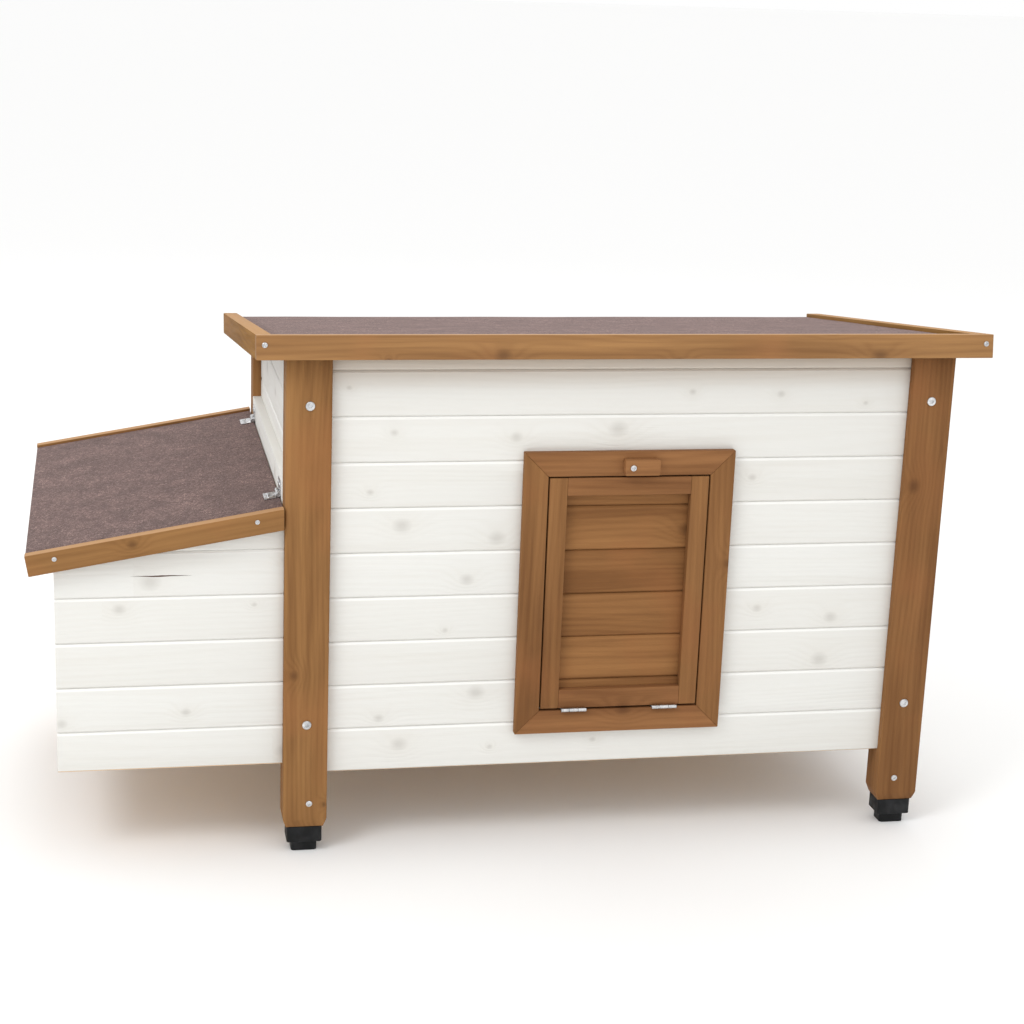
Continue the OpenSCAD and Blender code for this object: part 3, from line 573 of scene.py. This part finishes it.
board_tree = boards_tree()
wash_front = whitewashed("whitewash_front", LEVEL, wall_line, bottom=wall_line,
                         top=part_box("front_wall_boards")[1][2])
# The side walls take the lighter copy of the paint as painted light on faces turned to the side.
wash_side = whitewashed("whitewash_side", EASTWARD, wall_line, bottom=wall_line, coat=PAINT_LIT_SIDE)
door_hole = (
    (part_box("casing_left")[1][0], -PAST_THE_WALL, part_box("casing_bottom")[1][2]),
    (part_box("casing_right")[0][0], 0.0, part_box("casing_top")[0][2]),
)
wall_middle = (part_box("left_wall_boards")[0][1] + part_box("left_wall_boards")[1][1]) / 2
floor_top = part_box("floor_panel")[1][2]
passage_hole = (
    (-PAST_THE_WALL, wall_middle - PASSAGE / 2, floor_top),
    (0.0, wall_middle + PASSAGE / 2, floor_top + PASSAGE),
)
board_wall("front_wall_boards", (0, -1, 0), wall_line, wash_front, roof_under, door_hole, seed=3)
board_wall("back_wall_boards", (0, 1, 0), wall_line, wash_front, roof_under, seed=5)
board_wall("left_wall_boards", (-1, 0, 0), wall_line, wash_side, roof_under, passage_hole, seed=7)
board_wall("right_wall_boards", (1, 0, 0), wall_line, wash_side, roof_under, seed=11)


# ---- Rails, bearers, stops and floor ------------------------------------------------------------
# Unpainted pine rails that the post bolts pull against, the bearers and the plywood floor on them,
# and the stops that the closed door rests on. They show only through the door and under the floor.

PINE_LIGHT = (0.640, 0.440, 0.225, 1)
PINE_DARK = (0.440, 0.255, 0.105, 1)
PINE_KNOT = (0.170, 0.075, 0.030, 1)
PINE_STREAK = 1.2
PINE_LINES = -0.45
PINE_ROUGHNESS = (0.6, 0.8)
PINE_DEPTH = 0.0003


def bare_pine(name, turn, row=STICK_ROW, contrast=1.0):
    """Unpainted softwood or its plywood. contrast is how strongly its figure shows."""
    figure = {}

    def colour(tree):
        figure.update(grain(tree, turn, row, 0.0, STICK_SKEW, False))
        pale = calc(tree, "MULTIPLY_ADD", figure["streak"], PINE_STREAK * contrast, 0.1)
        pale = calc(tree, "MULTIPLY_ADD", figure["lines"], PINE_LINES * contrast, pale)
        wood = tint(tree, pale, PINE_DARK, PINE_LIGHT)
        return tint(tree, calc(tree, "MULTIPLY", figure["knot"], 0.8 * contrast), wood, PINE_KNOT)

    return surface(
        name,
        colour,
        lambda tree: span(tree, figure["fibre"], *NOISE_REACH, *PINE_ROUGHNESS),
        (PINE_DEPTH, lambda tree: wood_height(tree, figure)),
    )


def finished(node, finish):
    """Gives a CAD node that stays as it is its material."""
    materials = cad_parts[node].data.materials
    materials.clear()
    materials.append(finish)


pine_level = bare_pine("pine_level", LEVEL)
pine_deep = bare_pine("pine_deep", EASTWARD)
pine_upright = bare_pine("pine_upright", UPRIGHT)
plywood = bare_pine("plywood", LEVEL, row=0.2, contrast=0.5)
for node in ("front_head_rail", "rear_head_rail", "floor_bearers", "nest_floor_bearers"):
    finished(node, pine_level)
for node in ("left_rails", "right_rails"):
    finished(node, pine_deep)
for node in ("door_stops", "nest_battens"):
    finished(node, pine_upright)
for node in ("floor_panel", "nest_floor"):
    finished(node, plywood)


# ---- Door casing --------------------------------------------------------------------------------
# Four brown stained pieces round the doorway, mitred at the corners and planted on the boards.

CASING_ARRIS = 0.0009
stain_level = stained("stain_level", LEVEL, shade=(0.90, 0.82, 0.88))
for side, finish in (("left", stain_upright_darker_and_shaded), ("right", stain_upright_darker_and_shaded),
                     ("top", stain_level), ("bottom", stain_level)):
    eased("casing_" + side, "stained_casing_" + side, "hutch", finish, CASING_ARRIS)


# ---- Nest box -----------------------------------------------------------------------------------
# A lower box of the same boards, hung on the left posts, with battens in its corners. A plain
# whitewashed board closes the gap between the posts above it and carries the lid's hinges.

NEST_RISE = 0.0077
LID_FALL = math.radians(9.7)
HINGE_BOARD_ARRIS = 0.001
nest_line = wall_line + NEST_RISE
nest_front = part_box("nest_front_boards")
nest_bottom = nest_front[0][2]
lid_under = (
    Vector((nest_front[1][0], 0, nest_front[1][2])),
    Vector((-math.sin(LID_FALL), 0, math.cos(LID_FALL))),
)
CRACK = (-0.478, -0.402, 0.372)
wash_nest_front = whitewashed("whitewash_nest_front", LEVEL, nest_line, bottom=nest_bottom, crack=CRACK)
wash_nest_end = whitewashed("whitewash_nest_end", EASTWARD, nest_line, bottom=nest_bottom)
# The hinge board takes the lighter copy of the paint as painted light, against the roof's shadow.
wash_hinge_board = whitewashed("whitewash_hinge_board", EASTWARD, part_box("hinge_board")[0][2], row=0.1,
                                coat=PAINT_LIT_SIDE)
board_wall("nest_front_boards", (0, -1, 0), nest_line, wash_nest_front, lid_under, seed=13)
board_wall("nest_rear_boards", (0, 1, 0), nest_line, wash_nest_front, lid_under, seed=17)
board_wall("nest_end_boards", (-1, 0, 0), nest_line, wash_nest_end, lid_under, seed=19)
eased("hinge_board", "whitewashed_hinge_board", "hutch", wash_hinge_board,
      HINGE_BOARD_ARRIS)


# ---- Door ---------------------------------------------------------------------------------------
# Two stiles and two rails planted on level matched boards, all brown stained. The door hangs on
# its bottom edge and folds down.

DOOR_ARRIS = 0.0009
DOOR_BOARDS_DROP = 0.0015
DOOR_BOARDS_SHADE = (0.92, 0.86, 0.86)
stain_door_boards = stained("stain_door_boards", LEVEL, BOARD_PITCH, wall_line - DOOR_BOARDS_DROP, 0.0,
                            each_board=True, shade=DOOR_BOARDS_SHADE)
for node in ("door_stile_left", "door_stile_right"):
    eased(node, "stained_" + node, "door", stain_upright_darker_and_shaded, DOOR_ARRIS)
for node in ("door_rail_top", "door_rail_bottom"):
    eased(node, "stained_" + node, "door", stain_level, DOOR_ARRIS)
eased("door_boards", "stained_door_boards", "door", stain_door_boards, BOARD_ARRIS)


# ---- Turn button --------------------------------------------------------------------------------
# A small brown stained block on one screw, which turns down over the door's top rail to hold it.

BUTTON_ARRIS = 0.0013
eased("turn_button", "stained_turn_button", "turn_button", stain_level,
      BUTTON_ARRIS, steps=3)


# ---- Nest lid and roof --------------------------------------------------------------------------
# Plywood panels under mineral felt: bitumen felt with a coat of purple-brown slate granules. The
# felt is turned down over the lid's outer edge and over the roof's rear edge, and lies between
# brown stained fascias that are fixed to the panel's edges.

GRANULE_MID = (0.128, 0.079, 0.071, 1)
GRANULE_DARK = (0.040, 0.024, 0.023, 1)
GRANULE_PALE = (0.320, 0.226, 0.198, 1)
GRANULE_SIZE = 0.0013
GRANULE_DEPTH = 0.0004
CLUMP = 0.33
CLUMP_SHADE = 0.35
CLOUDS_PER_METRE = 26.0
CLOUD_SHADE = (0.72, 1.28)
FELT_ROUGHNESS = (0.75, 0.95)
FELT_RIPPLE = 0.0004
FELT_STEP = 0.022
FELT_EDGE = 0.0006
RIPPLES_PER_METRE = 9.0
FASCIA_ARRIS = 0.0011
TOP_HIGHLIGHT = 0.6


def granules(tree):
    """Colours of the slate granules, and the cells that they lie in."""
    place = add(tree, "ShaderNodeTexCoord").outputs["Object"]
    cell = add(tree, "ShaderNodeTexVoronoi", {"Vector": place, "Scale": 1 / GRANULE_SIZE})
    coarse = add(tree, "ShaderNodeTexVoronoi", {"Vector": place, "Scale": CLUMP / GRANULE_SIZE})
    luck = add(tree, "ShaderNodeSeparateColor", {"Color": cell.outputs["Color"]}).outputs
    clump = add(tree, "ShaderNodeSeparateColor", {"Color": coarse.outputs["Color"]}).outputs[0]
    level = calc(tree, "MULTIPLY_ADD", off_middle(tree, clump), CLUMP_SHADE, luck[0])
    colour = tint(tree, span(tree, level, 0.0, 0.75), GRANULE_DARK, GRANULE_MID)
    colour = tint(tree, span(tree, level, 0.72, 1.15), colour, GRANULE_PALE)
    cloud = span(tree, object_noise(tree, CLOUDS_PER_METRE), *NOISE_REACH, *CLOUD_SHADE)
    shade = add(tree, "ShaderNodeCombineXYZ", {"X": cloud, "Y": cloud, "Z": cloud})
    return tint(tree, 1.0, colour, shade, "MULTIPLY"), cell


felt = {}


def felt_colour(tree):
    colour, felt["cell"] = granules(tree)
    return colour


mineral_felt = surface(
    "mineral_felt",
    felt_colour,
    lambda tree: span(tree, object_noise(tree, 700.0), *NOISE_REACH, *FELT_ROUGHNESS),
    (GRANULE_DEPTH, lambda tree: calc(tree, "MULTIPLY", felt["cell"].outputs["Distance"], -1.0)),
    Specular_IOR_Level=0.3,
    Sheen_Weight=0.27,
    Sheen_Roughness=0.5,
    Sheen_Tint=(0.9, 0.66, 0.62, 1),
)


def felt_sheet(node, name, body, fall, axis):
    """The felt as a sheet that ripples a little where it isn't stuck down flat."""
    shape = whole_shape(node)
    low, high = (Vector(c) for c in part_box(node))
    for side in range(2):
        count = int((high[side] - low[side]) / FELT_STEP)
        for k in range(1, count):
            point = low + (high - low) * (k / count)
            normal = Vector((1 - side, side, 0))
            geometry = shape.verts[:] + shape.edges[:] + shape.faces[:]
            bmesh.ops.bisect_plane(shape, geom=geometry, plane_co=point, plane_no=normal)
    shape.normal_update()
    upward = Matrix.Rotation(fall, 3, axis) @ Vector((0, 0, 1))
    top = max(upward.dot(v.co) for v in shape.verts)
    for vert in shape.verts:
        if top - upward.dot(vert.co) < FELT_RIPPLE:
            vert.co += upward * FELT_RIPPLE * (noise.noise(vert.co * RIPPLES_PER_METRE) - 1.0)
    piece = shown(name, shape, mineral_felt)
    rounding = piece.modifiers.new("soft edge", "BEVEL")
    rounding.width = FELT_EDGE
    rounding.segments = 2
    rounding.limit_method = "ANGLE"
    settle(piece)
    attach(piece, body)
    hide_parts(node)


def fascia(node, body, finish):
    eased(node, "stained_" + node, body, finish, FASCIA_ARRIS)


felt_sheet("lid_felt", "lid_mineral_felt", "nest_lid", -LID_FALL, "Y")
felt_sheet("roof_felt", "roof_mineral_felt", "roof", -ROOF_FALL, "X")
stain_lid = stained("stain_lid", (0, LID_FALL, 0), shade=(0.97, 0.98, 0.98), top_highlight=TOP_HIGHLIGHT)
# The front fascia's stain is lightened and cooled as a painted highlight, and the side fascias' stain is
# darkened as painted shade; the wood is the same.
stain_roof_front_highlit = stained("stain_roof_front_highlit", LEVEL, shade=(1.10, 1.12, 1.15), gloss=0.25,
                           top_highlight=TOP_HIGHLIGHT)
stain_roof_side_shaded = stained("stain_roof_side_shaded", (ROOF_FALL, 0, -math.pi / 2), shade=(0.92, 0.94, 0.80),
                          gloss=0.06, top_highlight=TOP_HIGHLIGHT)
fascia("lid_fascia_front", "nest_lid", stain_lid)
fascia("lid_fascia_rear", "nest_lid", stain_lid)
fascia("roof_fascia_front", "roof", stain_roof_front_highlit)
fascia("roof_fascia_left", "roof", stain_roof_side_shaded)
fascia("roof_fascia_right", "roof", stain_roof_side_shaded)
finished("lid_panel", plywood)
finished("roof_panel", plywood)
finished("roof_battens", pine_level)


# ---- Hinges -------------------------------------------------------------------------------------
# Pressed steel butt hinges, zinc plated: two under the door, two on the lid and two at the back of
# the roof, each with a pin through rolled knuckles.

ZINC = (0.720, 0.725, 0.735, 1)
ZINC_DULL = (0.460, 0.465, 0.475, 1)
ZINC_ROUGHNESS = (0.2, 0.38)
PLATING_DEPTH = 0.00004
HINGE_ARRIS = 0.00025

bright_zinc = surface(
    "bright_zinc",
    lambda tree: tint(tree, span(tree, object_noise(tree, 130.0, 5.0), 0.35, 0.7), ZINC, ZINC_DULL),
    lambda tree: span(tree, object_noise(tree, 260.0, 4.0), *NOISE_REACH, *ZINC_ROUGHNESS),
    (PLATING_DEPTH, lambda tree: object_noise(tree, 900.0)),
    Metallic=1.0,
)
for node, body in (
    ("door_hinge_leaves", "hutch"), ("lid_hinge_leaves", "hutch"), ("roof_hinge_leaves", "hutch"),
    ("hinge_pins", "hutch"), ("door_hinge_flaps", "door"), ("lid_hinge_flaps", "nest_lid"),
    ("roof_hinge_flaps", "roof"),
):
    eased(node, "zinc_" + node, body, bright_zinc, HINGE_ARRIS)


# ---- Bolts and screws ---------------------------------------------------------------------------
# Domed bolts with a hexagon socket through the posts, and small pan-head screws with a cross recess
# in the legs, the fascias, the hinges and the turn button. All are zinc plated steel.

SCREW_SIDES = 24
THREAD_PITCH = 0.0018
THREADED = 0.7
THREAD_MOST = 0.03
THREAD_ROOT = 0.78
CORE = 0.85
DOME = 0.4
DOME_STEPS = (0.385, 0.66, 0.88)
DOME_FULLNESS = 0.8
RIM = 0.12
BOLT_SOCKET = 0.37
LEG_RECESS = 0.42
SMALL_RECESS = 0.5


def screw_places(node):
    """Seat, outward direction, head radius, shank radius and length of each screw in a CAD node."""
    shape = whole_shape(node)
    shape.verts.ensure_lookup_table()
    left, places = set(shape.verts), []
    while left:
        group, edge = set(), [min(left, key=lambda v: v.index)]
        while edge:
            vert = edge.pop()
            if vert not in group:
                group.add(vert)
                edge.extend(e.other_vert(vert) for e in vert.link_edges)
        left -= group
        points = np.array([v.co[:] for v in sorted(group, key=lambda v: v.index)])
        axis = np.linalg.svd(points - points.mean(0))[2][0]
        middle = points.mean(0)
        reach = (points - middle) @ axis
        radius = np.linalg.norm(points - middle - np.outer(reach, axis), axis=1)
        widest = radius.argmax()
        sign = 1.0 if reach[widest] > (reach.min() + reach.max()) / 2 else -1.0
        out, reach = axis * sign, reach * sign
        seat = reach[radius > radius.max() * 0.98].min()
        shank = radius[reach < reach.min() + JOIN_WITHIN].max()
        places.append((Vector(middle + out * seat), Vector(out), radius.max(), shank, seat - reach.min()))
    shape.free()
    return places


def hexagon(turn):
    """How far out a hexagon's wall lies at each turn, as a share of its flats' distance."""
    return 1 / math.cos((turn % (math.pi / 3)) - math.pi / 6)


def cross(turn):
    """How far out a cross recess reaches at each turn, as a share of its mean reach."""
    return 0.45 + 0.9 * abs(math.cos(2 * turn)) ** 3


def turned_screw(head, shank, length, recess, socket):
    """A screw along -Z with its seat at z = 0, made of rings like work off a lathe."""
    dome = DOME * head
    rings = [(shank * 0.25, -length, None)]
    threads = int(min(length * THREADED, THREAD_MOST) / THREAD_PITCH)
    for k in range(threads):
        z = -length + THREAD_PITCH * (k + 1)
        rings += [(shank * THREAD_ROOT, z - THREAD_PITCH * 0.35, None), (shank, z, None)]
    plain_from = -length + THREAD_PITCH * (threads + 0.6)
    rings += [(shank * CORE, plain_from, None), (shank * CORE, 0.0, None)]
    rings += [(head * 0.96, 0.0, None), (head, dome * RIM, None)]
    for angle in DOME_STEPS:
        rise = RIM + (1 - RIM) * math.sin(angle) ** DOME_FULLNESS
        rings.append((head * math.cos(angle), dome * rise, None))
    rings += [(recess, dome * 0.99, socket), (recess * 0.9, dome * 0.06, socket)]
    shape = bmesh.new()
    loops = []
    for radius, z, outline in rings:
        turns = [2 * math.pi * k / SCREW_SIDES for k in range(SCREW_SIDES)]
        radii = [radius * (outline(t) if outline else 1.0) for t in turns]
        loops.append([shape.verts.new((r * math.cos(t), r * math.sin(t), z)) for r, t in zip(radii, turns)])
    for lower, upper in zip(loops, loops[1:]):
        for k in range(SCREW_SIDES):
            n = (k + 1) % SCREW_SIDES
            shape.faces.new((lower[k], lower[n], upper[n], upper[k]))
    shape.faces.new(list(reversed(loops[0])))
    shape.faces.new(loops[-1])
    return shape


def screws_tree():
    """Geometry Nodes tree: stands a screw on each point along its "out" vector, each turned
    another way."""
    tree = bpy.data.node_groups.new("screws", "GeometryNodeTree")
    sockets = {}
    for name, kind in (("Places", "Geometry"), ("Screw", "Object"), ("Seed", "Int"),
                       ("Finish", "Material")):
        socket = tree.interface.new_socket(name=name, in_out="INPUT", socket_type="NodeSocket" + kind)
        sockets[name] = socket.identifier
    tree.interface.new_socket(name="Screws", in_out="OUTPUT", socket_type="NodeSocketGeometry")
    given = tree.nodes.new("NodeGroupInput").outputs
    model = add(tree, "GeometryNodeObjectInfo", {"Object": given["Screw"]})
    out = add(tree, "GeometryNodeInputNamedAttribute", {"Name": "out"}, data_type="FLOAT_VECTOR")
    aimed = add(tree, "FunctionNodeAlignRotationToVector", {"Vector": out}, axis="Z")
    chance = add(tree, "FunctionNodeRandomValue", {2: 0.0, 3: 2 * math.pi, "Seed": given["Seed"]},
                 data_type="FLOAT")
    spin = add(tree, "FunctionNodeAxisAngleToRotation", {"Axis": (0, 0, 1), "Angle": chance.outputs[1]})
    turned = add(tree, "FunctionNodeRotateRotation", {"Rotation": aimed, "Rotate By": spin},
                 rotation_space="LOCAL")
    placed = add(tree, "GeometryNodeInstanceOnPoints", {
        "Points": given["Places"], "Instance": model.outputs["Geometry"], "Rotation": turned})
    solid = add(tree, "GeometryNodeRealizeInstances", {"Geometry": placed})
    plated = add(tree, "GeometryNodeSetMaterial", {"Geometry": solid, "Material": given["Finish"]})
    add(tree, "NodeGroupOutput", {"Screws": plated})
    return tree, sockets


def driven(node, name, body, recess_part, socket, seed):
    """Turned screws in the places of a CAD node's plain ones, one mesh for the node."""
    kinds = {}
    for seat, out, head, shank, length in screw_places(node):
        kinds.setdefault((round(head, 4), round(shank, 4), round(length, 4)), []).append((seat, out))
    tree, sockets = screw_tree
    whole = bmesh.new()
    for (head, shank, length), places in sorted(kinds.items()):
        screw = turned_screw(head, shank, length, head * recess_part, socket)
        model = shown("screw_model", screw, bright_zinc)
        points = bmesh.new()
        for seat, out in places:
            points.verts.new(seat)
        piece = shown("screw_points", points, bright_zinc)
        aim = piece.data.attributes.new("out", "FLOAT_VECTOR", "POINT")
        aim.data.foreach_set("vector", [c for seat, out in places for c in out])
        driving = piece.modifiers.new("screws", "NODES")
        driving.node_group = tree
        driving[sockets["Screw"]] = model
        driving[sockets["Seed"]] = seed
        driving[sockets["Finish"]] = bright_zinc
        settle(piece)
        whole.from_mesh(piece.data)
        bpy.data.objects.remove(piece)
        bpy.data.objects.remove(model)
    piece = shown(name, whole, bright_zinc)
    settle(piece)
    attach(piece, body)
    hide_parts(node)


screw_tree = screws_tree()
driven("post_bolts", "domed_post_bolts", "hutch", BOLT_SOCKET, hexagon, seed=2)
driven("foot_screws", "cross_foot_screws", "hutch", LEG_RECESS, cross, seed=4)
driven("hinge_screws", "cross_hinge_screws", "hutch", SMALL_RECESS, cross, seed=6)
driven("lid_screws", "cross_lid_screws", "nest_lid", SMALL_RECESS, cross, seed=8)
driven("roof_screws", "cross_roof_screws", "roof", SMALL_RECESS, cross, seed=10)
driven("button_pivot", "cross_button_screw", "hutch", SMALL_RECESS, cross, seed=12)


# ---- Floor and light ----------------------------------------------------------------------------
# A plain pale floor and soft, even light from the front and above, as in a product studio.

FLOOR_HALF = 60.0
FLOOR_PALE = (0.97, 0.97, 0.965, 1)
FLOOR_ROUGHNESS = 0.9
ROOM_LIGHT = 1.0
AIM = Vector((0, 0, 0.35))
LAMPS = (
    ("key", Vector((-2.3, -2.0, 3.1)), 1.5, 40.0),
    ("fill", Vector((0.6, -3.0, 2.2)), 2.2, 6.0),
    ("back", Vector((0.4, 2.6, 2.8)), 2.0, 16.0),
)

pale_floor = bpy.data.materials.new("pale_floor")
pale_floor.use_nodes = True
floor_shader = pale_floor.node_tree.nodes["Principled BSDF"]
floor_shader.inputs["Base Color"].default_value = FLOOR_PALE
floor_shader.inputs["Roughness"].default_value = FLOOR_ROUGHNESS
ground = bmesh.new()
bmesh.ops.create_grid(ground, x_segments=1, y_segments=1, size=FLOOR_HALF)
shown("floor", ground, pale_floor)

world = bpy.data.worlds.new("studio")
world.use_nodes = True
world.node_tree.nodes["Background"].inputs["Color"].default_value = (1.0, 1.0, 1.0, 1)
world.node_tree.nodes["Background"].inputs["Strength"].default_value = ROOM_LIGHT
bpy.context.scene.world = world
for name, place, size, power in LAMPS:
    lamp = bpy.data.lights.new(name, "AREA")
    lamp.shape = "DISK"
    lamp.size = size
    lamp.energy = power
    holder = bpy.data.objects.new(name, lamp)
    bpy.context.scene.collection.objects.link(holder)
    holder.location = place
    holder.rotation_euler = (AIM - place).to_track_quat("-Z", "Y").to_euler()
bpy.context.scene.view_settings.view_transform = "Standard"
